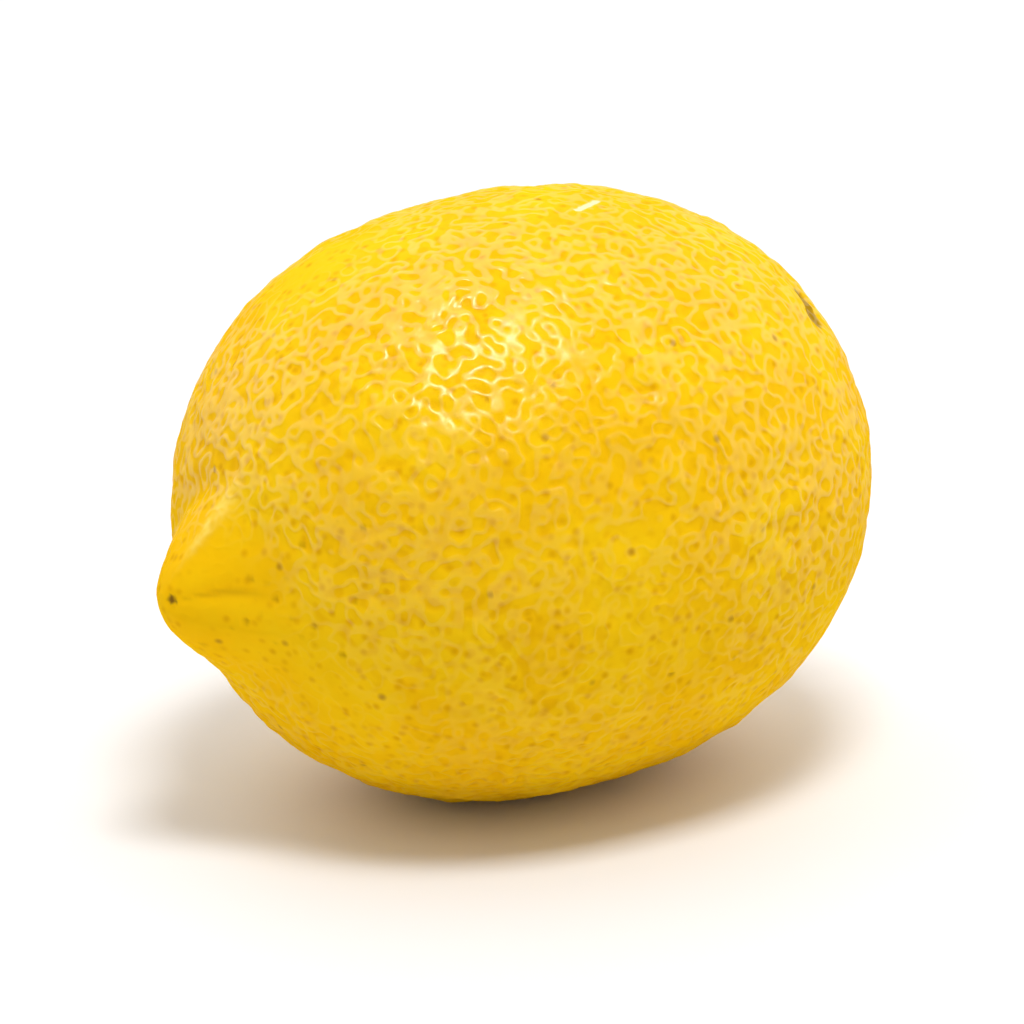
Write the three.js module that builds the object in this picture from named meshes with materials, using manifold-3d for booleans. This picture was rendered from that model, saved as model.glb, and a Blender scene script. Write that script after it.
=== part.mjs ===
// A whole lemon with its dried stem button, lying on its side. Millimetres, +Z up.
// The long axis runs along X: the stem end is at +X, the blossom end with its nipple at -X.
// The origin is on the resting surface, under the middle of the fruit.
import * as THREE from "three";
import { mergeVertices } from "three/addons/utils/BufferGeometryUtils.js";
import Module from "manifold-3d";

const wasm = await Module();
wasm.setup();

// Driving dimensions of the body
const BODY_RADIUS = 32.5;
const STEM_LENGTH = 39.0; // from the centre of the body to its stem end
const TIP_LENGTH = 37.0; // from the centre of the body to its blossom end, without the nipple
const STEM_FULLNESS = 2.2; // an exponent: 2 is an ellipse, more is a fuller barrel
const TIP_FULLNESS = 2.24;
const SQUARENESS = 0.007; // share of the radius by which the section bulges at its four diagonals
const THREE_LOBES = 0.005; // share of the radius by which the section is three-lobed

// How the fruit lies
const LONG_AXIS_TILT = THREE.MathUtils.degToRad(1.3); // the blossom end is the lower one
const CENTRE = new THREE.Vector3(1.15, 0.1, 31.7); // the centre of the body, over the resting spot

// The nipple at the blossom end
const NIPPLE_HEIGHT = 7.2;
const NIPPLE_SPREAD = 0.206; // radians, seen from the centre of the body, as all angles here
const NIPPLE_ROUNDNESS = 1.8; // an exponent: 1 is a pointed cone, more is a blunter one
const NIPPLE_DROP = 0.06; // how far the nipple's axis leans down from the long axis
const CREASE_COUNT = 4; // the creases run from the tip, with a sharp crest between each two
const CREASE_DEPTH = 0.85;
const CREASE_ANGLE = 0.24; // from the nipple's axis to the deepest part of a crease
const CREASE_SPREAD = 0.13;
const CREST_TURN = THREE.MathUtils.degToRad(-12); // the upper crest, measured from straight up
const FOLD_DEPTH = 0.3; // a narrow fold near the bottom of one crease
const FOLD_ANGLE = 0.15;
const FOLD_SPREAD = 0.12;
const FOLD_TURN = THREE.MathUtils.degToRad(-68);
const FOLD_WIDTH = THREE.MathUtils.degToRad(9);
const FOLD_BEND = 1.5; // how much the fold's turn falls for each unit of angle
const FURROW_DEPTH = 0.75; // the crescent furrow between the nipple and the far shoulder
const FURROW_ANGLE = 0.3;
const FURROW_SPREAD = 0.055;
const FURROW_TURN = THREE.MathUtils.degToRad(50); // the middle of the crescent
const FURROW_NARROWNESS = 2.5; // an exponent: more is a shorter crescent

// The collar at the stem end, with the flat seat of the button in it
const NECK_HEIGHT = 1.0;
const NECK_SPREAD = 0.3;
const COLLAR_RIBS = 9;
const COLLAR_RIB_HEIGHT = 0.5;
const COLLAR_RIB_RADIUS = 9.0;
const COLLAR_RIB_WIDTH = 3.4;
const SEAT_RADIUS = 4.8;
const SEAT_DEPTH = 2.1; // below the top of the neck
const SEAT_LEVEL = STEM_LENGTH + NECK_HEIGHT - SEAT_DEPTH; // along the long axis, from the centre
const COLLAR_RADIUS = 8.0;

// The low waves of the rind
const WAVE_COUNT = 16;
const WAVE_LENGTH = 5.6;
const WAVE_HEIGHT = 0.08;
const CALM_ANGLE = 0.25; // there are no waves within about this angle of the blossom end
const GOLDEN_ANGLE = Math.PI * (3 - Math.sqrt(5));

// The stem button: the five-lobed calyx with the cut stub of the stalk
const BUTTON_RADIUS = 3.7;
const BUTTON_LOBES = 5;
const BUTTON_LOBE_DEPTH = 0.17;
const CALYX_THICKNESS = 0.9;
const STUB_RADIUS = 1.6;
const STUB_HEIGHT = 3.4; // from the underside of the calyx to the cut face
const GAP = 0.3; // between the button and its seat

// Fineness of the surfaces
const FRUIT_SEGMENTS = 96;
const FRUIT_RINGS = 56;
const POLE_GATHER = 0.35; // rings are this much closer at the two ends than on average
const BUTTON_SEGMENTS = 40;

// Colours and finish
const PEEL = { color: 0xf0c419, roughness: 0.38, metalness: 0 };
const DRIED_CALYX = { color: 0x6f5a35, roughness: 0.85, metalness: 0 };

function closedGeometry(geometry) {
  // Keeps the positions alone and joins the vertices along seams and at poles.
  geometry.deleteAttribute("normal");
  geometry.deleteAttribute("uv");
  return mergeVertices(geometry);
}

function toSolid(geometry) {
  const vertProperties = new Float32Array(geometry.attributes.position.array);
  const triVerts = new Uint32Array(geometry.index.array);
  return new wasm.Manifold(new wasm.Mesh({ numProp: 3, vertProperties, triVerts }));
}

function toGeometry(solid) {
  const mesh = solid.getMesh();
  const geometry = new THREE.BufferGeometry();
  geometry.setAttribute("position", new THREE.BufferAttribute(mesh.vertProperties, 3));
  geometry.setIndex(new THREE.BufferAttribute(mesh.triVerts, 1));
  geometry.computeVertexNormals();
  return geometry;
}

function bump(distance, width) {
  // A smooth hill: 1 in the middle and near 0 beyond twice the width.
  return Math.exp(-((distance / width) ** 2));
}

function bodyDistance(direction) {
  // A superellipse turned about X, with a section that is slightly square and three-lobed.
  const length = direction.x > 0 ? STEM_LENGTH : TIP_LENGTH;
  const fullness = direction.x > 0 ? STEM_FULLNESS : TIP_FULLNESS;
  const off = Math.hypot(direction.y, direction.z);
  const turn = Math.atan2(direction.z, direction.y);
  const lobes = SQUARENESS * Math.cos(4 * turn) + THREE_LOBES * Math.cos(3 * turn);
  const radius = BODY_RADIUS * (1 - off * off * lobes);
  const along = Math.abs(direction.x) / length;
  return (along ** fullness + (off / radius) ** fullness) ** (-1 / fullness);
}

function nippleHeight(direction) {
  // A blunt cone with creases that run from its tip, and a crescent furrow behind it.
  const axis = new THREE.Vector3(-1, 0, -NIPPLE_DROP).normalize();
  const up = new THREE.Vector3(0, 0, 1).addScaledVector(axis, -axis.z).normalize();
  const side = new THREE.Vector3().crossVectors(axis, up);
  const angle = direction.angleTo(axis);
  const turn = Math.atan2(direction.dot(side), direction.dot(up));
  const cone = NIPPLE_HEIGHT * Math.exp(-((angle / NIPPLE_SPREAD) ** NIPPLE_ROUNDNESS));
  const valley = Math.abs(Math.sin((CREASE_COUNT / 2) * (turn - CREST_TURN)));
  const crease = CREASE_DEPTH * valley * bump(angle - CREASE_ANGLE, CREASE_SPREAD);
  const offFold = turn - FOLD_TURN + FOLD_BEND * (angle - FOLD_ANGLE);
  const fold = FOLD_DEPTH * bump(offFold, FOLD_WIDTH) * bump(angle - FOLD_ANGLE, FOLD_SPREAD);
  const reach = (0.5 + 0.5 * Math.cos(turn - FURROW_TURN)) ** FURROW_NARROWNESS;
  const furrow = FURROW_DEPTH * reach * bump(angle - FURROW_ANGLE, FURROW_SPREAD);
  return cone - crease - fold - furrow;
}

function rindWaves(point) {
  // A sum of equal sine waves whose directions are spread evenly over the sphere.
  let height = 0;
  for (let i = 0; i < WAVE_COUNT; i += 1) {
    const z = (2 * i + 1) / WAVE_COUNT - 1;
    const ring = Math.sqrt(1 - z * z);
    const turn = i * GOLDEN_ANGLE;
    const along = point.x * ring * Math.cos(turn) + point.y * ring * Math.sin(turn) + point.z * z;
    height += Math.sin((2 * Math.PI * along) / WAVE_LENGTH + i * i);
  }
  return height * WAVE_HEIGHT * Math.sqrt(2 / WAVE_COUNT);
}

function gatherTowardsPoles(direction) {
  // Moves a grid point of the sphere along its meridian, towards the nearer pole.
  const polar = Math.acos(THREE.MathUtils.clamp(direction.x, -1, 1));
  const turn = Math.atan2(direction.z, direction.y);
  const moved = polar - 0.5 * POLE_GATHER * Math.sin(2 * polar);
  const off = Math.sin(moved);
  return direction.set(Math.cos(moved), off * Math.cos(turn), off * Math.sin(turn));
}

function fruitPoint(direction) {
  // The point of the peel in a direction from the centre of the body.
  const stemAngle = Math.acos(THREE.MathUtils.clamp(direction.x, -1, 1));
  const neck = NECK_HEIGHT * bump(stemAngle, NECK_SPREAD);
  const smooth = bodyDistance(direction) + nippleHeight(direction) + neck;
  const point = direction.clone().multiplyScalar(smooth);
  const off = Math.hypot(point.y, point.z);
  const turn = Math.atan2(point.z, point.y);
  const calm = bump(Math.PI - stemAngle, CALM_ANGLE);
  let relief = rindWaves(point) * (1 - calm);
  if (point.x > 0) {
    // Round ribs with a sharp groove between each two.
    const ribs = COLLAR_RIB_HEIGHT * (2 * Math.abs(Math.cos((COLLAR_RIBS / 2) * turn)) - 1);
    relief += ribs * bump(off - COLLAR_RIB_RADIUS, COLLAR_RIB_WIDTH);
  }
  point.addScaledVector(direction, relief);
  if (point.x > 0) {
    // The collar falls into the flat round seat of the button.
    const rise = THREE.MathUtils.smoothstep(off, SEAT_RADIUS, COLLAR_RADIUS);
    point.x = THREE.MathUtils.lerp(SEAT_LEVEL, point.x, rise);
  }
  return point;
}

function makeFruit() {
  const geometry = closedGeometry(new THREE.SphereGeometry(1, FRUIT_SEGMENTS, FRUIT_RINGS));
  geometry.rotateZ(-Math.PI / 2);
  const position = geometry.attributes.position;
  const direction = new THREE.Vector3();
  for (let i = 0; i < position.count; i += 1) {
    direction.fromBufferAttribute(position, i).normalize();
    const point = fruitPoint(gatherTowardsPoles(direction));
    position.setXYZ(i, point.x, point.y, point.z);
  }
  geometry.rotateY(-LONG_AXIS_TILT);
  geometry.translate(CENTRE.x, CENTRE.y, CENTRE.z);
  // The resting spot: everything under the surface that the fruit lies on is cut away.
  const blockSide = 200;
  const block = new THREE.BoxGeometry(blockSide, blockSide, blockSide);
  block.translate(0, 0, -blockSide / 2);
  const resting = toSolid(geometry).subtract(toSolid(closedGeometry(block)));
  const mesh = new THREE.Mesh(toGeometry(resting), new THREE.MeshStandardMaterial(PEEL));
  mesh.name = "fruit";
  return mesh;
}

function makeStemButton() {
  // A profile turned about its axis: underside, rim, sloping calyx, stub and cut face.
  const rim = BUTTON_RADIUS;
  const profile = [
    [0, 0],
    [0.55 * rim, 0],
    [0.9 * rim, 0.08],
    [rim, 0.3],
    [0.98 * rim, 0.55],
    [0.85 * rim, CALYX_THICKNESS],
    [0.68 * rim, CALYX_THICKNESS + 0.3],
    [STUB_RADIUS + 0.35, CALYX_THICKNESS + 0.65],
    [STUB_RADIUS, CALYX_THICKNESS + 1.2],
    [STUB_RADIUS, STUB_HEIGHT - 0.4],
    [STUB_RADIUS + 0.15, STUB_HEIGHT - 0.15],
    [STUB_RADIUS - 0.1, STUB_HEIGHT],
    [0.5 * STUB_RADIUS, STUB_HEIGHT - 0.12],
    [0, STUB_HEIGHT - 0.15],
  ];
  const points = profile.map(([radius, height]) => new THREE.Vector2(radius, height));
  const geometry = closedGeometry(new THREE.LatheGeometry(points, BUTTON_SEGMENTS));
  const position = geometry.attributes.position;
  for (let i = 0; i < position.count; i += 1) {
    const radius = Math.hypot(position.getX(i), position.getZ(i));
    const turn = Math.atan2(position.getZ(i), position.getX(i));
    const outer = THREE.MathUtils.smoothstep(radius, STUB_RADIUS + 0.4, 0.95 * rim);
    const lobe = 1 + BUTTON_LOBE_DEPTH * outer * (Math.cos(BUTTON_LOBES * turn) - 0.3);
    position.setX(i, position.getX(i) * lobe);
    position.setZ(i, position.getZ(i) * lobe);
  }
  // The profile's axis, Y, is turned to point out of the stem end, along +X.
  geometry.rotateZ(-Math.PI / 2);
  geometry.computeVertexNormals();
  const mesh = new THREE.Mesh(geometry, new THREE.MeshStandardMaterial(DRIED_CALYX));
  mesh.name = "stem_button";
  mesh.position.x = SEAT_LEVEL + GAP;
  return mesh;
}

const lemon = new THREE.Group();
lemon.add(makeFruit());

const stemFrame = new THREE.Group();
stemFrame.position.copy(CENTRE);
stemFrame.rotation.y = -LONG_AXIS_TILT;
stemFrame.add(makeStemButton());
lemon.add(stemFrame);

export default lemon;
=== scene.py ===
# %% [markdown]
# A whole lemon with its dried stem button, on a pale floor in soft studio light.
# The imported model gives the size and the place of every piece. It comes in first, as a fixed
# frame, and nothing in it is moved. The lesson then sets the camera, builds the peel and the
# stem button as fine surfaces with numpy, gives each a procedural finish, and adds the light.
# Shapes are worked out in millimetres, which suits a fruit, and put into meshes in metres.

# %% Load the frame
import math

import bpy
import numpy as np
from mathutils import Matrix, Vector


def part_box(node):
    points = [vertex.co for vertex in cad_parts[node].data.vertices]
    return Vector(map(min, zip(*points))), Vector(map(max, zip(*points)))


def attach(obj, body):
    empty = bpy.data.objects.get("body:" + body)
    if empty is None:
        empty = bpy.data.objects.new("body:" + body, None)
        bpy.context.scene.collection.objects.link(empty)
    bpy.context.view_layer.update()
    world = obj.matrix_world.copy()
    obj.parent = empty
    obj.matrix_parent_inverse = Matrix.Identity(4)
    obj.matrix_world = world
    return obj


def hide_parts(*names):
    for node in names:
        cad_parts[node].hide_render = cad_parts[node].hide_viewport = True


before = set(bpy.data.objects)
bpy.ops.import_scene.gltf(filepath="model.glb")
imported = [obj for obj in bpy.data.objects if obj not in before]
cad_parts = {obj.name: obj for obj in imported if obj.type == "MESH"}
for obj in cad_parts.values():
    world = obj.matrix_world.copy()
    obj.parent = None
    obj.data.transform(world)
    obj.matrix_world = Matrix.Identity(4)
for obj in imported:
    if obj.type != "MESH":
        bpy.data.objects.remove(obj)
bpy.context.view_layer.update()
MM = 0.001
fruit_low, fruit_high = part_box("fruit")
print("frame nodes:", sorted(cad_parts))
print("fruit box in mm:", np.round(np.array([fruit_low, fruit_high]) / MM, 2).tolist())

# %% [markdown]
# The camera stands where the photograph was taken: more than a metre away, so that the fruit is
# drawn with hardly any perspective, a little above it, and turned so that the blossom end
# comes towards the left of the picture. The picture leans by a degree and a half. A camera can
# be aimed with a Track To constraint, but writing its three axes into a matrix keeps the lean
# exact and needs no helper object.

# %% Camera
VIEW_AZIMUTH = math.radians(-31.2)
VIEW_ELEVATION = math.radians(20.0)
VIEW_LEAN = math.radians(1.45)
VIEW_DISTANCE = 1.3
VIEW_WIDTH = 0.110  # what the picture takes in at the fruit, in metres
SENSOR_WIDTH = 36.0
BODY_CENTRE = Vector((1.15, 0.1, 31.7)) * MM
CENTRE_RIGHT = 0.0004  # where the middle of the body lies from the middle of the picture
CENTRE_UP = 0.0020


def camera_axes(azimuth, elevation, lean):
    """The picture's right, its up and the way back to the camera, as three unit vectors."""
    flat = math.cos(elevation)
    back = Vector((math.sin(azimuth) * flat, -math.cos(azimuth) * flat, math.sin(elevation)))
    level = Vector((math.cos(azimuth), math.sin(azimuth), 0.0))
    upright = back.cross(level)
    right = level * math.cos(lean) - upright * math.sin(lean)
    up = upright * math.cos(lean) + level * math.sin(lean)
    return right, up, back


def add_camera():
    """A long lens, aimed so that the fruit leaves room for its shadow at the foot."""
    right, up, back = camera_axes(VIEW_AZIMUTH, VIEW_ELEVATION, VIEW_LEAN)
    aim = BODY_CENTRE - right * CENTRE_RIGHT - up * CENTRE_UP
    data = bpy.data.cameras.new("studio_camera")
    data.sensor_width = SENSOR_WIDTH
    data.lens = SENSOR_WIDTH * VIEW_DISTANCE / VIEW_WIDTH
    data.clip_start = 0.05
    data.clip_end = 50.0
    camera = bpy.data.objects.new("studio_camera", data)
    turn = Matrix((right, up, back)).transposed().to_4x4()
    camera.matrix_world = Matrix.Translation(aim + back * VIEW_DISTANCE) @ turn
    bpy.context.scene.collection.objects.link(camera)
    bpy.context.scene.camera = camera
    print("camera lens in mm:", round(data.lens, 1))


add_camera()

# %% [markdown]
# The body of a lemon is a barrel between an ellipsoid and a box, a touch square in section.
# It could be sculpted or lathed. A superellipse turned about the long axis says the same with
# five numbers: the distance to the peel in any direction from the middle of the fruit. Every
# later form, such as the nipple or a pit, is then a height that is added in that direction.

# %% The body's distance function
BODY_RADIUS = 32.5
STEM_LENGTH = 39.0
TIP_LENGTH = 37.0
STEM_FULLNESS = 2.2
TIP_FULLNESS = 2.24
SQUARENESS = 0.007
THREE_LOBES = 0.005


def hill(distance, width):
    """A smooth hill: one in the middle, falling as the exponential of minus the square."""
    return np.exp(-((distance / width) ** 2))


def smooth_step(value, low, high):
    """Rises from nought at low to one at high with level ends: 3 t squared less 2 t cubed."""
    t = np.clip((value - low) / (high - low), 0, 1)
    return t * t * (3 - 2 * t)


def body_distance(direction):
    """Superellipse: (along / length) ** n + (off / radius) ** n = 1, solved for the distance.

    The radius swells and shrinks a little with the cosines of four and three times the turn.
    """
    x, y, z = direction.T
    length = np.where(x > 0, STEM_LENGTH, TIP_LENGTH)
    fullness = np.where(x > 0, STEM_FULLNESS, TIP_FULLNESS)
    off = np.hypot(y, z)
    turn = np.arctan2(z, y)
    lobes = SQUARENESS * np.cos(4 * turn) + THREE_LOBES * np.cos(3 * turn)
    radius = BODY_RADIUS * (1 - off * off * lobes)
    return ((np.abs(x) / length) ** fullness + (off / radius) ** fullness) ** (-1 / fullness)


# %% [markdown]
# The blossom end carries the nipple: a blunt cone that leans down a little. Four shallow creases
# run from its tip with sharp crests between them, and the upper crest stands out as a low ridge.
# A narrow fold lies near the bottom of one crease, and a crescent furrow marks where the nipple
# meets the far shoulder. All of them are given in two angles about the nipple's own axis, one
# away from it and one round it, so each is a line or two of arithmetic.

# %% The nipple at the blossom end
NIPPLE_HEIGHT = 7.2
NIPPLE_SPREAD = 0.206
NIPPLE_ROUNDNESS = 1.8
NIPPLE_DROP = 0.06
CREASE_COUNT = 4
CREASE_DEPTH = 0.85
CREASE_ANGLE = 0.24
CREASE_SPREAD = 0.13
CREST_TURN = math.radians(-12)  # turns are measured from straight up
FOLD_DEPTH = 0.3
FOLD_ANGLE = 0.15
FOLD_SPREAD = 0.12
FOLD_TURN = math.radians(-68)
FOLD_WIDTH = math.radians(9)
FOLD_BEND = 1.5  # how much the fold's turn falls for each unit of angle
CREST_HEIGHT = 0.22
CREST_WIDTH = math.radians(7)
FURROW_DEPTH = 0.75
FURROW_ANGLE = 0.3
FURROW_SPREAD = 0.055
FURROW_TURN = math.radians(50)
FURROW_NARROWNESS = 2.5


def about_nipple(direction):
    """Polar angle from the nipple's axis, and turn about it measured from straight up."""
    axis = np.array([-1.0, 0.0, -NIPPLE_DROP])
    axis /= np.linalg.norm(axis)
    up = np.array([0.0, 0.0, 1.0]) - axis[2] * axis
    up /= np.linalg.norm(up)
    side = np.cross(axis, up)
    angle = np.arccos(np.clip(direction @ axis, -1, 1))
    return angle, np.arctan2(direction @ side, direction @ up)


def crest_line(direction):
    """The upper crest: a hill of the turn times a hill of the angle."""
    angle, turn = about_nipple(direction)
    return hill(turn - CREST_TURN, CREST_WIDTH) * hill(angle - CREASE_ANGLE, CREASE_SPREAD)


def fold_line(direction, width):
    """The fold: the same product, with a turn that falls as the angle grows."""
    angle, turn = about_nipple(direction)
    off = turn - FOLD_TURN + FOLD_BEND * (angle - FOLD_ANGLE)
    return hill(off, width) * hill(angle - FOLD_ANGLE, FOLD_SPREAD)


def nipple_height(direction):
    """A blunt cone, less creases with sharp crests between them, one fold and one furrow.

    The creases follow the size of a sine of the turn, whose kinks are the crests.
    """
    angle, turn = about_nipple(direction)
    cone = NIPPLE_HEIGHT * np.exp(-((angle / NIPPLE_SPREAD) ** NIPPLE_ROUNDNESS))
    valley = np.abs(np.sin(CREASE_COUNT / 2 * (turn - CREST_TURN)))
    crease = CREASE_DEPTH * valley * hill(angle - CREASE_ANGLE, CREASE_SPREAD)
    fold = FOLD_DEPTH * fold_line(direction, FOLD_WIDTH)
    reach = (0.5 + 0.5 * np.cos(turn - FURROW_TURN)) ** FURROW_NARROWNESS
    furrow = FURROW_DEPTH * reach * hill(angle - FURROW_ANGLE, FURROW_SPREAD)
    return cone - crease - fold - furrow


# %% [markdown]
# The stem end is a short neck that falls into a collar, where the button sits. The peel is
# gathered there into ribs, like cloth round a button. The size of a cosine of the turn gives
# round ribs with a sharp groove wherever the cosine changes sign.

# %% The neck and the collar at the stem end
NECK_HEIGHT = 1.0
NECK_SPREAD = 0.3
COLLAR_RIBS = 9
COLLAR_RIB_HEIGHT = 0.5
COLLAR_RIB_RADIUS = 9.0
COLLAR_RIB_WIDTH = 3.4
SEAT_RADIUS = 4.8
SEAT_DEPTH = 2.1
SEAT_LEVEL = STEM_LENGTH + NECK_HEIGHT - SEAT_DEPTH
COLLAR_RADIUS = 8.0


def smooth_surface(direction):
    """The peel without relief: the direction times the distance of body, nipple and neck."""
    stem_angle = np.arccos(np.clip(direction[:, 0], -1, 1))
    neck = NECK_HEIGHT * hill(stem_angle, NECK_SPREAD)
    return direction * (body_distance(direction) + nipple_height(direction) + neck)[:, None]


def stem_rise(point):
    """Nought on the button's seat, one outside the collar and on the blossom half."""
    off = np.hypot(point[:, 1], point[:, 2])
    return np.where(point[:, 0] > 0, smooth_step(off, SEAT_RADIUS, COLLAR_RADIUS), 1.0)


def collar_ribs(point):
    """Nine round ribs with sharp grooves, from the size of a cosine, strongest on one ring."""
    off = np.hypot(point[:, 1], point[:, 2])
    turn = np.arctan2(point[:, 2], point[:, 1])
    ribs = COLLAR_RIB_HEIGHT * (2 * np.abs(np.cos(COLLAR_RIBS / 2 * turn)) - 1)
    return np.where(point[:, 0] > 0, ribs * hill(off - COLLAR_RIB_RADIUS, COLLAR_RIB_WIDTH), 0.0)


# %% [markdown]
# The rind is never smooth. Its broad lumps are a sum of sine waves whose directions are spread
# evenly over the sphere, so no grain shows. The same sum with shorter waves gives fine wrinkles,
# and a sum needs no random table.

# %% Waves of the rind
GOLDEN_ANGLE = math.pi * (3 - math.sqrt(5))
WAVE_COUNT = 16
WAVE_LENGTH = 5.6
WAVE_HEIGHT = 0.08
CALM_ANGLE = 0.25
WRINKLE_COUNT = 80
WRINKLE_LENGTH = 2.0
WRINKLE_HEIGHT = 0.03


def even_waves(point, count, length):
    """Sum of sines of the distance along evenly spread directions, with a spread of one."""
    index = np.arange(count)
    z = (2 * index + 1) / count - 1
    ring = np.sqrt(1 - z * z)
    turn = index * GOLDEN_ANGLE
    ways = np.stack((ring * np.cos(turn), ring * np.sin(turn), z))
    phase = 2 * math.pi * (point @ ways) / length + index * index
    return np.sin(phase).sum(axis=1) * math.sqrt(2 / count)


# %% [markdown]
# Oil glands pit the rind and leave a raised net between them. Each pit has a seed point on the
# peel: the seeds follow a spiral with the golden angle, which spaces them evenly, and a seeded
# random draw shakes them out of line. Each pit is a hill turned inside out and drawn out along
# a grain of its own, so neighbours run together into the worm-like marks of a real rind. The
# points are taken in slices along the fruit, each with the seeds close to it, to save work.

# %% Pits of the oil glands
PIT_SPACING = 1.7
PIT_SHAKE = 0.28
PIT_WIDTH = 0.48
PIT_STRETCH = 0.72  # share of the squared distance along the grain that doesn't count
PIT_DEPTH = 0.2
PIT_SHARE = (0.45, 1.15)  # the shallowest and the deepest pit
PIT_SEED = 7
PIT_REACH = 2.5  # beyond this distance a pit is no longer felt
BLOCK = 2048


def spiral_directions(count):
    """Evenly spread directions: heights in equal steps, each turned on by the golden angle."""
    index = np.arange(count)
    x = 1 - (2 * index + 1) / count
    ring = np.sqrt(1 - x * x)
    turn = index * GOLDEN_ANGLE
    return np.stack((x, ring * np.cos(turn), ring * np.sin(turn)), axis=1)


def shaken_seeds(spacing, draw):
    """Points on the smooth peel about one spacing apart, shaken by a normal draw."""
    area = 4 * math.pi * BODY_RADIUS * (STEM_LENGTH + TIP_LENGTH) / 2
    count = int(area / (spacing**2 * math.sqrt(3) / 2))
    direction = spiral_directions(count)
    direction += draw.normal(size=direction.shape) * PIT_SHAKE * spacing / BODY_RADIUS
    direction /= np.linalg.norm(direction, axis=1)[:, None]
    return smooth_surface(direction)


def sum_of_pits(point, seeds, grain, width, share):
    """Sum over the seeds of share times a hill of the distance, shortened along the grain."""
    total = np.empty(len(point))
    order = np.argsort(point[:, 0])
    for start in range(0, len(order), BLOCK):
        chosen = order[start : start + BLOCK]
        part = point[chosen]
        low, high = part[0, 0] - PIT_REACH, part[-1, 0] + PIT_REACH
        near = (seeds[:, 0] > low) & (seeds[:, 0] < high)
        seed, way = seeds[near], grain[near]
        square = (part**2).sum(axis=1)[:, None] + (seed**2).sum(axis=1) - 2 * part @ seed.T
        along = part @ way.T - (seed * way).sum(axis=1)
        total[chosen] = np.exp((PIT_STRETCH * along**2 - square) / width**2) @ share[near]
    return total


def gland_pits(point):
    """Depth of the pits, nought on the net between them: one less exp of minus their sum."""
    draw = np.random.default_rng(PIT_SEED)
    seeds = shaken_seeds(PIT_SPACING, draw)
    grain = draw.normal(size=seeds.shape)
    grain /= np.linalg.norm(grain, axis=1)[:, None]
    share = draw.uniform(*PIT_SHARE, len(seeds))
    total = sum_of_pits(point, seeds, grain, PIT_WIDTH, share)
    print("gland pits:", len(seeds))
    return 1 - np.exp(-total)


# %% [markdown]
# Round the nipple the rind is smooth, with sparse narrow pores that look darker than the peel.
# Some of them are easy to see, so they have places of their own, and the rest are drawn. The
# other marks are the scar of the flower's style at the tip, a pale nick on top, a brown scuff
# by the stem shoulder, and a small hollow at the end of the upper crest. A place is given as two
# angles, in degrees: the angle from the blossom end and the turn about the long axis, with
# nought along +Y and ninety straight up.

# %% Pores, scar, nick, scuff and hollow
PORES = [(34.6, 155), (22.7, 155), (11.8, 169), (16.0, -178)]
PORES += [(12.7, -160), (23.5, -170), (30.8, 177), (29.1, -162)]
PORE_SPACING = 3.3
PORE_WIDTH = 0.48
PORE_DEPTH = 0.16
PORE_ANGLE = 0.62  # the drawn pores are down to about a third this far from the blossom end
PORE_SHARE = (0.2, 0.8)  # how deep the drawn ones are, beside those with places
SCAR = (2.5, -131)
SCAR_WIDTH = 0.55
SCAR_DEPTH = 0.4
NICK = [(103.0, 96.1), (109.3, 92.6)]
NICK_WIDTH = 0.44
NICK_DEPTH = 0.12
SCUFF = [(144.6, 121.5), (143.6, 128.0)]
SCUFF_WIDTH = 1.7
SCUFF_DENT_WIDTH = 2.6
SCUFF_DEPTH = 0.35
HOLLOW = (18.3, 98.8)
HOLLOW_WIDTH = 1.1
HOLLOW_DEPTH = 0.45


def peel_place(angle, turn):
    """The point of the smooth peel at an angle from the blossom end and a turn, in degrees."""
    angle, turn = math.radians(angle), math.radians(turn)
    off = math.sin(angle)
    direction = np.array([[-math.cos(angle), off * math.cos(turn), off * math.sin(turn)]])
    return smooth_surface(direction)[0]


def line_distance(point, places):
    """Distance to a straight line between two places: to its nearest point, ends included."""
    start, end = (peel_place(*place) for place in places)
    way = end - start
    along = np.clip((point - start) @ way / (way @ way), 0, 1)
    return np.linalg.norm(point - start - along[:, None] * way, axis=1)


def pores(point):
    """Sum of narrow round hills at the given places and at drawn ones, round the blossom end."""
    draw = np.random.default_rng(PIT_SEED + 1)
    drawn = shaken_seeds(PORE_SPACING, draw)
    polar = np.arccos(np.clip(-drawn[:, 0] / np.linalg.norm(drawn, axis=1), -1, 1))
    near = polar < 2 * PORE_ANGLE
    drawn = drawn[near]
    share = draw.uniform(*PORE_SHARE, len(drawn)) * hill(polar[near], PORE_ANGLE)
    seeds = np.vstack([drawn] + [peel_place(*place) for place in PORES])
    share = np.append(share, np.ones(len(PORES)))
    print("pores:", len(seeds))
    return sum_of_pits(point, seeds, np.zeros_like(seeds), PORE_WIDTH, share)


# %% [markdown]
# A globe of latitudes and longitudes crowds its points at the poles. Six square patches blown
# up into a ball keep the mesh nearly even, so the same pits fit everywhere, and the nipple and
# the collar fall in the middle of a patch. Each patch is a function of two parameters on a
# grid: two angles from minus to plus 45 degrees. Points on shared edges are merged.

# %% A ball of six patches
PATCH_STEPS = 128


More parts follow.
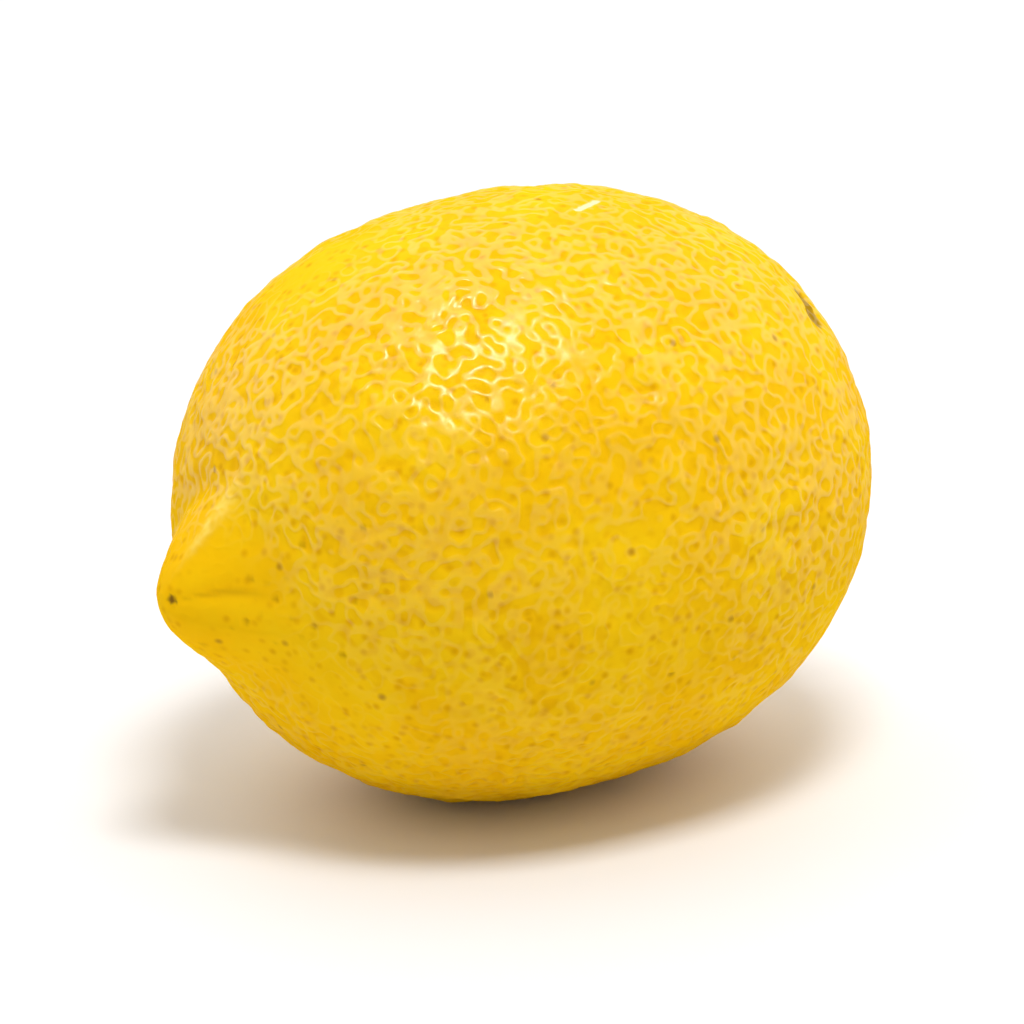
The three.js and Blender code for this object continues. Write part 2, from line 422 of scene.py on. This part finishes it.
def six_patches(steps):
    """Unit directions and quads of a ball of six patches, each a grid of two angles' tangents."""
    tangent = np.tan(np.linspace(-math.pi / 4, math.pi / 4, steps + 1))
    a, b = (grid.ravel() for grid in np.meshgrid(tangent, tangent, indexing="ij"))
    one = np.ones_like(a)
    sides = [(one, a, b), (-one, b, a), (b, one, a), (a, -one, b), (a, b, one), (b, a, -one)]
    points = np.concatenate([np.stack(side, axis=1) for side in sides])
    points /= np.linalg.norm(points, axis=1)[:, None]
    corner = np.arange((steps + 1) ** 2).reshape(steps + 1, steps + 1)
    quad = (corner[:-1, :-1], corner[1:, :-1], corner[1:, 1:], corner[:-1, 1:])
    quads = np.stack([c.ravel() for c in quad], axis=1)
    quads = np.concatenate([quads + side * (steps + 1) ** 2 for side in range(6)])
    rounded = np.round(points, 9) + 0.0
    _, first, where = np.unique(rounded, axis=0, return_index=True, return_inverse=True)
    return points[first], where.ravel()[quads]


def add_mesh(name, points_mm, faces):
    """A smooth-shaded mesh object at the origin, from points in millimetres and lists of faces."""
    mesh = bpy.data.meshes.new(name)
    mesh.from_pydata((points_mm * MM).tolist(), [], faces)
    mesh.shade_smooth()
    piece = bpy.data.objects.new(name, mesh)
    bpy.context.scene.collection.objects.link(piece)
    print(name, "points:", len(points_mm), "faces:", len(faces))
    return piece


def add_attribute(piece, name, values):
    """Stores one number for each point, for the material to read."""
    attribute = piece.data.attributes.new(name, "FLOAT", "POINT")
    attribute.data.foreach_set("value", values.astype(np.float32))


# %% [markdown]
# Now the peel. The relief heights are summed and added along each direction, the seat is sunk,
# and the whole is tilted and lifted onto the floor, as the fruit lies. What would reach under
# the floor is pressed flat: that is the small resting spot. The depths of the pits and marks
# are also kept as attributes, so that the colour can follow the form.

# %% Build the peel
LONG_AXIS_TILT = math.radians(1.3)
TIP_CALM = 0.26  # the calm is down to about a third this far from the blossom end
TIP_CALM_SHARE = 0.5
ROUGH_LENGTH = 27.0
ROUGH_SHARE = 0.18  # how much rougher or smoother broad stretches of the rind are
STEM_TINGE_ANGLE = 0.3
# Painted shade: the hollow at the crest's end is given the pits' orange.
HOLLOW_SHADE = 0.9  # the hollow is tinted like a pit


def lay_down(point):
    """Tilts the long axis, blossom end down, and moves the fruit over its resting spot."""
    cos, sin = math.cos(LONG_AXIS_TILT), math.sin(LONG_AXIS_TILT)
    x, y, z = point.T
    laid = np.stack((x * cos - z * sin, y, x * sin + z * cos), axis=1)
    return laid + np.array(BODY_CENTRE) / MM


def build_peel():
    """The peel: smooth surface plus waves, ribs, pits, pores and marks along each direction."""
    direction, quads = six_patches(PATCH_STEPS)
    point = smooth_surface(direction)
    stem_angle = np.arccos(np.clip(direction[:, 0], -1, 1))
    tip_angle = math.pi - stem_angle
    rise = stem_rise(point)

    crest = crest_line(direction)
    pit = gland_pits(point)
    pore = pores(point)
    fine = 1 - TIP_CALM_SHARE * hill(tip_angle, TIP_CALM)
    fine *= 1 + ROUGH_SHARE * even_waves(point, WAVE_COUNT, ROUGH_LENGTH)
    wrinkles = WRINKLE_HEIGHT * even_waves(point, WRINKLE_COUNT, WRINKLE_LENGTH)
    rind = (wrinkles - PIT_DEPTH * pit) * fine * rise - PORE_DEPTH * pore

    scar = hill(np.linalg.norm(point - peel_place(*SCAR), axis=1), SCAR_WIDTH)
    to_nick = line_distance(point, NICK)
    to_scuff = line_distance(point, SCUFF)
    rind -= SCAR_DEPTH * scar + NICK_DEPTH * hill(to_nick, NICK_WIDTH)
    rind -= SCUFF_DEPTH * hill(to_scuff, SCUFF_DENT_WIDTH)
    hollow = hill(np.linalg.norm(point - peel_place(*HOLLOW), axis=1), HOLLOW_WIDTH)
    rind -= HOLLOW_DEPTH * hollow

    waves = WAVE_HEIGHT * even_waves(point, WAVE_COUNT, WAVE_LENGTH)
    relief = waves * (1 - hill(tip_angle, CALM_ANGLE)) + collar_ribs(point) + rind
    relief += CREST_HEIGHT * crest
    shaped = point + direction * relief[:, None]
    shaped[:, 0] = SEAT_LEVEL + rise * (shaped[:, 0] - SEAT_LEVEL)
    shaped = lay_down(shaped)
    shaped[:, 2] = np.maximum(shaped[:, 2], 0.0)

    peel = add_mesh("lemon_peel", shaped, quads.tolist())
    # The pit attribute also takes the hollow, so that painted shade falls in it.
    add_attribute(peel, "pit", pit * fine * rise + HOLLOW_SHADE * hollow)
    add_attribute(peel, "rough", fine * rise)
    # The crest line also places a painted highlight along the upper crest.
    add_attribute(peel, "crest", crest)
    # The narrow fold line places painted shade along the crease.
    add_attribute(peel, "fold", fold_line(direction, FOLD_WIDTH / 2))
    add_attribute(peel, "pore", pore)
    add_attribute(peel, "scar", scar)
    add_attribute(peel, "scuff", hill(to_scuff, SCUFF_WIDTH))
    add_attribute(peel, "nick", hill(to_nick, NICK_WIDTH))
    add_attribute(peel, "stem", hill(stem_angle, STEM_TINGE_ANGLE))
    print("relief in mm:", relief.min().round(2), relief.max().round(2))
    return peel


peel = build_peel()

# %% [markdown]
# A finish is a small tree of nodes round the Principled shader. Writing the trees out by hand
# takes many lines, so one helper adds a node, sets its properties, and fills or links its
# sockets by name. A few more wrap the nodes that are used most, so that each step of a finish
# is one line.

# %% Node helpers


def new_finish(name):
    """A material with nodes, and its tree and Principled shader."""
    material = bpy.data.materials.new(name)
    material.use_nodes = True
    tree = material.node_tree
    return material, tree, tree.nodes["Principled BSDF"]


def fill(tree, socket, value):
    """Links a socket to another node's output, or sets its own value."""
    if isinstance(value, bpy.types.NodeSocket):
        tree.links.new(value, socket)
    else:
        socket.default_value = value


def add_node(tree, kind, properties=None, **sockets):
    """Adds a node, sets its properties, and fills its sockets, named with _ for a space."""
    node = tree.nodes.new("ShaderNode" + kind)
    for name, value in (properties or {}).items():
        setattr(node, name, value)
    for name, value in sockets.items():
        fill(tree, node.inputs[name.replace("_", " ")], value)
    return node


def mix_colour(tree, factor, first, second):
    """Blends two colours: the first where the factor is nought, the second where it is one."""
    node = add_node(tree, "Mix", {"data_type": "RGBA"})
    for index, value in ((0, factor), (6, first), (7, second)):
        fill(tree, node.inputs[index], value)
    return node.outputs[2]


def calculate(tree, operation, *values):
    """One Math node on up to three values."""
    node = add_node(tree, "Math", {"operation": operation})
    for index, value in enumerate(values):
        fill(tree, node.inputs[index], value)
    return node.outputs[0]


def map_range(tree, value, low, high, to_low=0.0, to_high=1.0):
    """Takes low to high smoothly to another range, with level ends."""
    properties = {"interpolation_type": "SMOOTHSTEP"}
    node = add_node(tree, "MapRange", properties, Value=value, From_Min=low, From_Max=high)
    fill(tree, node.inputs["To Min"], to_low)
    fill(tree, node.inputs["To Max"], to_high)
    return node.outputs["Result"]


def attribute(tree, name):
    """A number that is stored on the mesh's points."""
    return add_node(tree, "Attribute", {"attribute_name": name}).outputs["Fac"]


# %% [markdown]
# Ripe lemon peel is a clear, slightly warm yellow. Looked at closely the pits are deeper and
# more orange: in part because the skin over an oil gland is clear, and in part as painted shade
# in the hollows. Smaller glands that leave no pit show through as soft orange dots. Between
# them runs a net of fine winding ridges, a little paler than the rest, and patches about a
# centimetre across differ slightly. A pale streak of painted highlight lies on the nipple's
# upper crest, and a dark olive line of painted shade lies in its fold. The net could be drawn as
# the borders of Voronoi cells, but those are straight. A smooth noise passes its middle value
# along winding lines, so the ridges are put there. Colours are linear, as the shader wants
# them.

# %% Colour of the peel
YELLOW = (0.930, 0.565, 0.005, 1)
WARM_YELLOW = (0.905, 0.505, 0.003, 1)
# Partly painted shade: the pits' orange also darkens them by their depth.
PIT_ORANGE_AND_SHADE = (0.840, 0.430, 0.002, 1)
PALE_NET = (0.970, 0.640, 0.012, 1)
GLAND_ORANGE = (0.740, 0.340, 0.002, 1)
# Painted highlight: a pale streak along the nipple's upper crest.
CREST_HIGHLIGHT = (0.980, 0.700, 0.120, 1)
# Olive of the pores, which also paints the shade in the fold.
PORE_OLIVE = (0.480, 0.220, 0.004, 1)
SPECK_BROWN = (0.400, 0.210, 0.020, 1)
SCAR_BROWN = (0.150, 0.070, 0.012, 1)
SCUFF_OLIVE = (0.305, 0.156, 0.006, 1)
NICK_CREAM = (0.930, 0.800, 0.420, 1)
STEM_GREEN = (0.560, 0.480, 0.020, 1)
PATCH_SCALE = 90.0  # the scales are in noise cells to the metre
GRAIN_SCALE = 900.0
GLAND_SCALE = 720.0
GLAND_RADIUS = 0.5  # in cells
SPECK_RANGE = (0.985, 0.99)  # only cells that draw more than this hold a brown speck
NET_SCALE = 620.0
NET_HALF_WIDTH = 0.24  # in units of the noise
NOISE_MIDDLE = (0.35, 0.65)  # most of a noise lies between these
PIT_RAGGEDNESS = 0.25
PIT_RANGE = (0.3, 0.85)  # each range is where a tint starts and where it is full
CREST_HIGHLIGHT_RANGE = (0.02, 0.7)
LINE_RANGE = (0.1, 1.0)
GLAND_RANGE = (0.0, 0.9)
STEM_RANGE = (0.1, 0.7)
MARK_RANGE = (0.55, 1.05)
PIT_COVER = 0.6  # each cover is how much of the tint hides the peel's yellow at most
NET_COVER = 0.12
# painted shade: how dark the line along the fold gets at most
FOLD_SHADE_COVER = 0.4
PORE_COVER = 0.65
GLAND_COVER = 0.8
SPECK_COVER = 0.6
STEM_COVER = 0.6
MARKS = [("scuff", SCUFF_OLIVE, 0.85), ("scar", SCAR_BROWN, 0.9), ("nick", NICK_CREAM, 1.0)]
MARK_RAGGEDNESS = 0.7


def fine_net(tree, place):
    """Winding ridges: one where a noise field passes its middle value, nought away from there."""
    field = add_node(tree, "TexNoise", Vector=place, Scale=NET_SCALE, Detail=0.0)
    off = calculate(tree, "ABSOLUTE", calculate(tree, "SUBTRACT", field.outputs["Fac"], 0.5))
    ridge = map_range(tree, off, NET_HALF_WIDTH, 0.0)
    return calculate(tree, "MULTIPLY", ridge, attribute(tree, "rough"))


def peel_colour(tree, place, net):
    """Yellow in patches, then pits partly painted shade, net, painted crest highlight, painted fold
    shade, pores, dots, stem tinge and marks.
    """
    patches = add_node(tree, "TexNoise", Vector=place, Scale=PATCH_SCALE, Detail=2.0)
    grain = add_node(tree, "TexNoise", Vector=place, Scale=GRAIN_SCALE, Detail=1.0)
    patch = map_range(tree, patches.outputs["Fac"], *NOISE_MIDDLE)
    colour = mix_colour(tree, patch, YELLOW, WARM_YELLOW)

    # The pits' orange, by their depth, is partly gland colour and partly painted shade.
    pit = attribute(tree, "pit")
    grained = calculate(tree, "MULTIPLY_ADD", grain.outputs["Fac"], PIT_RAGGEDNESS, pit)
    deep = map_range(tree, grained, *PIT_RANGE, 0.0, PIT_COVER)
    colour = mix_colour(tree, deep, colour, PIT_ORANGE_AND_SHADE)
    colour = mix_colour(tree, calculate(tree, "MULTIPLY", net, NET_COVER), colour, PALE_NET)
    # A pale streak along the crest, broken by the grain, is painted highlight.
    crest_highlight = calculate(tree, "MULTIPLY", attribute(tree, "crest"), grain.outputs["Fac"])
    colour = mix_colour(tree, map_range(tree, crest_highlight, *CREST_HIGHLIGHT_RANGE), colour, CREST_HIGHLIGHT)
    # Painted shade: a dark olive line along the fold of the nipple.
    fold = map_range(tree, attribute(tree, "fold"), *LINE_RANGE, 0.0, FOLD_SHADE_COVER)
    colour = mix_colour(tree, fold, colour, PORE_OLIVE)

    pore = map_range(tree, attribute(tree, "pore"), *LINE_RANGE, 0.0, PORE_COVER)
    colour = mix_colour(tree, pore, colour, PORE_OLIVE)

    cells = add_node(tree, "TexVoronoi", Vector=place, Scale=GLAND_SCALE)
    chance = add_node(tree, "SeparateColor", Color=cells.outputs["Color"]).outputs["Red"]
    near = map_range(tree, cells.outputs["Distance"], GLAND_RADIUS, 0.0)
    share = map_range(tree, chance, *GLAND_RANGE, 0.0, GLAND_COVER)
    colour = mix_colour(tree, calculate(tree, "MULTIPLY", near, share), colour, GLAND_ORANGE)
    share = map_range(tree, chance, *SPECK_RANGE, 0.0, SPECK_COVER)
    colour = mix_colour(tree, calculate(tree, "MULTIPLY", near, share), colour, SPECK_BROWN)

    tinge = calculate(tree, "MULTIPLY", attribute(tree, "stem"), patches.outputs["Fac"])
    green = map_range(tree, tinge, *STEM_RANGE, 0.0, STEM_COVER)
    colour = mix_colour(tree, green, colour, STEM_GREEN)

    for name, tone, cover in MARKS:
        mark = attribute(tree, name)
        ragged = calculate(tree, "MULTIPLY_ADD", grain.outputs["Fac"], MARK_RAGGEDNESS, mark)
        shown = map_range(tree, ragged, *MARK_RANGE, 0.0, cover)
        colour = mix_colour(tree, shown, colour, tone)
    return colour


# %% [markdown]
# The pits and wrinkles are in the mesh. The net of ridges is too fine for its half-millimetre
# faces, so it is left to bump. The skin has a thin coat of wax, which gleams on the ridges, where
# it has been rubbed to a polish, and hardly at all between them: that breaks the gleam up into
# short pale strokes. It is duller low down, on the side that the fruit lies on. Towards its
# rims a glossy shader turns pale, which a rough skin doesn't, so the shine fades there too. Light
# also enters the rind and comes out again close by, which softens the small shadows: a little
# subsurface scattering gives that.

# %% Finish of the peel
NET_BUMP = 0.00007
NOISE_SPAN = (0.3, 0.7)  # nearly all of a noise lies between these
ROUGHNESS = (0.31, 0.41)  # in the smoothest and in the roughest places
RIDGE_RANGE = (0.35, 1.0)  # where on the net's ridges the shine starts and is full
SHINE_BETWEEN = 0.02  # share of the ridges' shine that the skin between them has
DULL_BELOW = 0.022
BRIGHT_ABOVE = 0.054
DULL_SHARE = 0.15
RIM_RANGE = (0.35, 0.8)  # of the facing, which is nought face on and one at the rim
RIM_SHARE = 0.03
WAX_TINT = (1.0, 0.95, 0.8, 1)
SCATTER_WEIGHT = 0.22
SCATTER_REACH = (1.0, 0.55, 0.12)  # red light goes farthest
SCATTER_DEPTH = 0.0012


def finish_peel(piece):
    """Principled peel: patterned colour, bumped net, wax that gleams on it, soft scattering."""
    material, tree, shader = new_finish("lemon_rind")
    place = add_node(tree, "TexCoord").outputs["Object"]
    net = fine_net(tree, place)
    fill(tree, shader.inputs["Base Color"], peel_colour(tree, place, net))

    gloss = add_node(tree, "TexNoise", Vector=place, Scale=GRAIN_SCALE / 2, Detail=1.0)
    rough = map_range(tree, gloss.outputs["Fac"], *NOISE_SPAN, *ROUGHNESS)
    fill(tree, shader.inputs["Roughness"], rough)
    facing = add_node(tree, "LayerWeight").outputs["Facing"]
    height = add_node(tree, "SeparateXYZ", Vector=place).outputs["Z"]
    polish = map_range(tree, height, DULL_BELOW, BRIGHT_ABOVE, DULL_SHARE, 1.0)
    rim = map_range(tree, facing, *RIM_RANGE, 1.0, RIM_SHARE)
    shine = map_range(tree, net, *RIDGE_RANGE, SHINE_BETWEEN, 1.0)
    shine = calculate(tree, "MULTIPLY", shine, polish)
    shine = calculate(tree, "MULTIPLY", shine, rim)
    fill(tree, shader.inputs["Specular IOR Level"], shine)
    shader.inputs["Specular Tint"].default_value = WAX_TINT
    shader.subsurface_method = "BURLEY"
    shader.inputs["Subsurface Weight"].default_value = SCATTER_WEIGHT
    shader.inputs["Subsurface Radius"].default_value = SCATTER_REACH
    shader.inputs["Subsurface Scale"].default_value = SCATTER_DEPTH

    ridges = add_node(tree, "Bump", Height=net, Distance=NET_BUMP)
    fill(tree, shader.inputs["Normal"], ridges.outputs["Normal"])
    piece.data.materials.append(material)
    print("peel finish nodes:", len(tree.nodes))


finish_peel(peel)

# %% [markdown]
# The stem button is what is left of the flower's calyx, dried to a five-lobed disc, with the
# cut stub of the stalk on it. It is a profile turned about its axis, like a piece on a lathe,
# so it is a grid of two parameters: the turn, and the way along the profile. The lobes push
# the rim in and out with the cosine of five times the turn, and dry fibres ridge it all.

# %% Shape of the stem button
BUTTON_RADIUS = 3.7
BUTTON_LOBES = 5
BUTTON_LOBE_DEPTH = 0.17
CALYX_THICKNESS = 0.9
STUB_RADIUS = 1.6
STUB_HEIGHT = 3.4
BUTTON_GAP = 0.3
BUTTON_STEPS_ROUND = 240
BUTTON_STEPS_ALONG = 120
CORNER_ROUNDING = 2.5  # in steps along the profile
ROUNDING_REACH = 8
FIBRE_COUNT = 34
FIBRE_HEIGHT = 0.05
CALYX_WRINKLE_LENGTH = 1.1
CALYX_WRINKLE_HEIGHT = 0.05
LOBE_START = STUB_RADIUS + 0.4  # nearer the axis than this there are no lobes
LOBE_FULL = 0.95 * BUTTON_RADIUS
LOBE_INWARD = 0.3  # the lobes reach less far out than the notches go in
FIBRE_START = 0.2  # and nearer than this there are no fibres
CUT_DISH = 0.15  # how far the middle of the cut face lies below its edge
CUT_FROM = STUB_HEIGHT - 0.45  # the wood of the cut face starts to show here
CUT_UNTIL = STUB_HEIGHT - 0.2
CALYX_FOOT = 0.3  # below this height the skin isn't wrinkled, so it stays clear of its seat


def button_profile(steps):
    """Radius and height along the profile: underside, rim, sloping calyx, stub and cut face.

    The corner points are joined by straight lines, evenly stepped, and rounded by a moving hill.
    """
    rim = BUTTON_RADIUS
    corners = np.array(
        [
            (0, 0),
            (0.9 * rim, 0.08),
            (rim, 0.3),
            (0.98 * rim, 0.55),
            (0.85 * rim, CALYX_THICKNESS),
            (0.68 * rim, CALYX_THICKNESS + 0.3),
            (STUB_RADIUS + 0.35, CALYX_THICKNESS + 0.65),
            (STUB_RADIUS, CALYX_THICKNESS + 1.2),
            (STUB_RADIUS, STUB_HEIGHT - 0.4),
            (STUB_RADIUS + 0.15, STUB_HEIGHT - 0.15),
            (STUB_RADIUS - 0.1, STUB_HEIGHT),
            (0.5 * STUB_RADIUS, STUB_HEIGHT - 0.12),
            (0, STUB_HEIGHT - CUT_DISH),
        ]
    )
    legs = np.linalg.norm(np.diff(corners, axis=0), axis=1)
    reached = np.append(0, np.cumsum(legs))
    at = np.linspace(0, reached[-1], steps)
    profile = np.stack([np.interp(at, reached, corners[:, k]) for k in range(2)], axis=1)
    reach = np.arange(-ROUNDING_REACH, ROUNDING_REACH + 1)
    weight = hill(reach, CORNER_ROUNDING)
    index = np.clip(np.arange(steps)[:, None] + reach, 0, steps - 1)
    rounded = (profile[index] * weight[None, :, None]).sum(axis=1) / weight.sum()
    rounded[[0, -1]] = profile[[0, -1]]
    return rounded


def grid_faces(rows, columns):
    """Quads of a grid that closes on itself sideways, and fans to one point at either end."""
    corner = np.arange(rows * columns).reshape(rows, columns)
    beside = np.roll(corner, -1, axis=1)
    quads = np.stack((corner[:-1], corner[1:], beside[1:], beside[:-1]), axis=2).reshape(-1, 4)
    low, high = rows * columns, rows * columns + 1
    first = [(low, a, b) for a, b in zip(corner[0].tolist(), beside[0].tolist())]
    last = [(high, b, a) for a, b in zip(corner[-1].tolist(), beside[-1].tolist())]
    return quads.tolist() + first + last


def build_button():
    """The turned profile, its rim pushed out by the lobes and its skin ridged by dry fibres."""
    profile = button_profile(BUTTON_STEPS_ALONG)[1:-1]
    turn = np.arange(BUTTON_STEPS_ROUND) * 2 * math.pi / BUTTON_STEPS_ROUND
    radius, turn = np.meshgrid(profile[:, 0], turn, indexing="ij")
    height = np.repeat(profile[:, 1:], BUTTON_STEPS_ROUND, axis=1)
    outer = smooth_step(radius, LOBE_START, LOBE_FULL)
    lobe = 1 + BUTTON_LOBE_DEPTH * outer * (np.cos(BUTTON_LOBES * turn) - LOBE_INWARD)
    wander = 0.9 * np.sin(2 * turn + 1) + 0.6 * np.sin(5 * turn + 2)
    fibre = np.cos(FIBRE_COUNT * turn + 2 * wander + 0.8 * height)
    shallow = smooth_step(radius, FIBRE_START, STUB_RADIUS)
    radius = radius * lobe + FIBRE_HEIGHT * fibre * shallow
    skin = np.stack((height, -radius * np.cos(turn), radius * np.sin(turn)), axis=2)
    skin = skin.reshape(-1, 3)
    wrinkle = CALYX_WRINKLE_HEIGHT * even_waves(skin, WRINKLE_COUNT, CALYX_WRINKLE_LENGTH)
    skin[:, 0] += np.where(skin[:, 0] > CALYX_FOOT, wrinkle, 0.0)
    ends = np.array([(0.0, 0.0, 0.0), (STUB_HEIGHT - CUT_DISH, 0.0, 0.0)])
    points = np.vstack([skin, ends])
    points[:, 0] += SEAT_LEVEL + BUTTON_GAP
    piece = add_mesh("calyx_button", lay_down(points), grid_faces(*radius.shape))
    add_attribute(piece, "fibre", np.append((0.5 + 0.5 * fibre).ravel(), (0.5, 0.5)))
    cut = smooth_step(height, CUT_FROM, CUT_UNTIL).ravel()
    add_attribute(piece, "cut", np.append(cut, (0.0, 1.0)))
    add_attribute(piece, "off_axis", np.append(radius.ravel(), (0.0, 0.0)))
    return piece


button = build_button()

# %% [markdown]
# Dried calyx is grey-brown and matt, silvery on its raised fibres and nearly black between
# them. The cut face of the stub is paler wood round a darker pith.

# %% Finish of the stem button
CALYX_DARK = (0.095, 0.062, 0.030, 1)
CALYX_BROWN = (0.260, 0.185, 0.095, 1)
CALYX_SILVER = (0.420, 0.365, 0.260, 1)
CALYX_GREEN = (0.215, 0.215, 0.075, 1)
CUT_WOOD = (0.520, 0.400, 0.220, 1)
CUT_PITH = (0.300, 0.210, 0.110, 1)
MOTTLE_SCALE = 700.0
DRY_GRAIN_SCALE = 3500.0
DRY_GRAIN_BUMP = 0.00008
DRY_ROUGHNESS = (0.72, 0.92)
DRY_SHINE = 0.3
DARK_RANGE = (0.35, 0.0)  # of the fibres: nought between them, one on their crests
DARK_COVER = 0.75
SILVER_RANGE = (0.3, 0.6)
SILVER_COVER = 0.8
PITH_RADIUS = (0.35, 0.75)  # the pith gives way to wood between these, in millimetres


def finish_button(piece):
    """Principled dry tissue: mottled brown, silver fibres, pale cut wood, rough all over."""
    material, tree, shader = new_finish("dried_calyx")
    place = add_node(tree, "TexCoord").outputs["Object"]
    mottle = add_node(tree, "TexNoise", Vector=place, Scale=MOTTLE_SCALE, Detail=4.0)
    fine = add_node(tree, "TexNoise", Vector=place, Scale=DRY_GRAIN_SCALE, Detail=3.0)
    patch = map_range(tree, mottle.outputs["Fac"], *NOISE_MIDDLE)
    colour = mix_colour(tree, patch, CALYX_BROWN, CALYX_GREEN)
    fibre = attribute(tree, "fibre")
    dark = map_range(tree, fibre, *DARK_RANGE, 0.0, DARK_COVER)
    colour = mix_colour(tree, dark, colour, CALYX_DARK)
    silver = calculate(tree, "MULTIPLY", fibre, fine.outputs["Fac"])
    silver = map_range(tree, silver, *SILVER_RANGE, 0.0, SILVER_COVER)
    colour = mix_colour(tree, silver, colour, CALYX_SILVER)
    rings = map_range(tree, attribute(tree, "off_axis"), *PITH_RADIUS)
    wood = mix_colour(tree, rings, CUT_PITH, CUT_WOOD)
    colour = mix_colour(tree, attribute(tree, "cut"), colour, wood)
    fill(tree, shader.inputs["Base Color"], colour)
    rough = map_range(tree, fine.outputs["Fac"], *NOISE_SPAN, *DRY_ROUGHNESS)
    fill(tree, shader.inputs["Roughness"], rough)
    shader.inputs["Specular IOR Level"].default_value = DRY_SHINE
    bump = add_node(tree, "Bump", Height=fine.outputs["Fac"], Distance=DRY_GRAIN_BUMP)
    fill(tree, shader.inputs["Normal"], bump.outputs["Normal"])
    piece.data.materials.append(material)
    print("button finish nodes:", len(tree.nodes))


finish_button(button)

# %% [markdown]
# The fruit lies on a plain pale floor. The floor runs far enough that its edge is never in the
# picture, and its faint unevenness keeps it from looking like paper.

# %% Floor
FLOOR_REACH = 4000.0
FLOOR_LIGHT = (0.850, 0.855, 0.872, 1)
FLOOR_SHADE = (0.836, 0.840, 0.856, 1)
FLOOR_DRIFT_SCALE = 3.0
FLOOR_ROUGHNESS = 0.55
FLOOR_SHINE = 0.25


def build_floor():
    """One square under everything, matt, in two pale tones that drift into each other."""
    reach = FLOOR_REACH
    corners = np.array([(-reach, -reach, 0), (reach, -reach, 0), (reach, reach, 0), (-reach, reach, 0)])
    floor = add_mesh("studio_floor", corners, [(0, 1, 2, 3)])
    material, tree, shader = new_finish("pale_floor")
    place = add_node(tree, "TexCoord").outputs["Object"]
    drift = add_node(tree, "TexNoise", Vector=place, Scale=FLOOR_DRIFT_SCALE, Detail=2.0)
    colour = mix_colour(tree, drift.outputs["Fac"], FLOOR_LIGHT, FLOOR_SHADE)
    fill(tree, shader.inputs["Base Color"], colour)
    shader.inputs["Roughness"].default_value = FLOOR_ROUGHNESS
    shader.inputs["Specular IOR Level"].default_value = FLOOR_SHINE
    floor.data.materials.append(material)


build_floor()

# %% [markdown]
# The light comes from a soft box nearly overhead and slightly in front, which puts one broad
# gleam on the upper side of the fruit, and from white surroundings that fill the shade.
# An area light gives the soft box its soft-edged shadow. The surroundings are the world's own
# light: bright behind and beside the fruit, weaker straight above it, where the soft box is, and
# dim towards the camera, so that the peel there keeps its deep colour.

# %% Light
BOX_AZIMUTH = math.radians(-9.0)
BOX_ELEVATION = math.radians(74.0)
BOX_DISTANCE = 1.1
BOX_WIDE = 0.38
BOX_DEEP = 0.30
BOX_WATTS = 7.5
SURROUND_BRIGHT = 1.12
SURROUND_DIM = 0.32
BRIGHT_UNTIL = -0.1  # the cosine of the angle to the camera's direction
DIM_FROM = 0.85


def add_softbox():
    """A rectangular area light that faces the fruit from its azimuth and elevation."""
    right, up, back = camera_axes(BOX_AZIMUTH, BOX_ELEVATION, 0.0)
    data = bpy.data.lights.new("softbox", "AREA")
    data.shape = "RECTANGLE"
    data.size = BOX_WIDE
    data.size_y = BOX_DEEP
    data.energy = BOX_WATTS
    light = bpy.data.objects.new("softbox", data)
    turn = Matrix((right, up, back)).transposed().to_4x4()
    light.matrix_world = Matrix.Translation(BODY_CENTRE + back * BOX_DISTANCE) @ turn
    bpy.context.scene.collection.objects.link(light)


def set_world():
    """White surroundings, whose strength falls smoothly from behind the fruit to the camera."""
    world = bpy.data.worlds.new("studio")
    world.use_nodes = True
    tree = world.node_tree
    way = add_node(tree, "TexCoord").outputs["Generated"]
    front = camera_axes(VIEW_AZIMUTH, VIEW_ELEVATION, 0.0)[2]
    toward = add_node(tree, "VectorMath", {"operation": "DOT_PRODUCT"})
    fill(tree, toward.inputs[0], way)
    fill(tree, toward.inputs[1], front)
    side = toward.outputs["Value"]
    strength = map_range(tree, side, BRIGHT_UNTIL, DIM_FROM, SURROUND_BRIGHT, SURROUND_DIM)
    fill(tree, tree.nodes["Background"].inputs["Strength"], strength)
    tree.nodes["Background"].inputs["Color"].default_value = (1, 1, 1, 1)
    bpy.context.scene.world = world


add_softbox()
set_world()
bpy.context.scene.view_settings.view_transform = "Standard"

# %% [markdown]
# Last, each piece is handed over: it rides on the one body of the fruit, and the node of the
# imported model that it takes the place of is hidden.

# %% Hand the pieces over
for piece, node, slot in ((peel, "fruit", "peel"), (button, "stem_button", "dried_calyx")):
    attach(piece, "root")
    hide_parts(node)
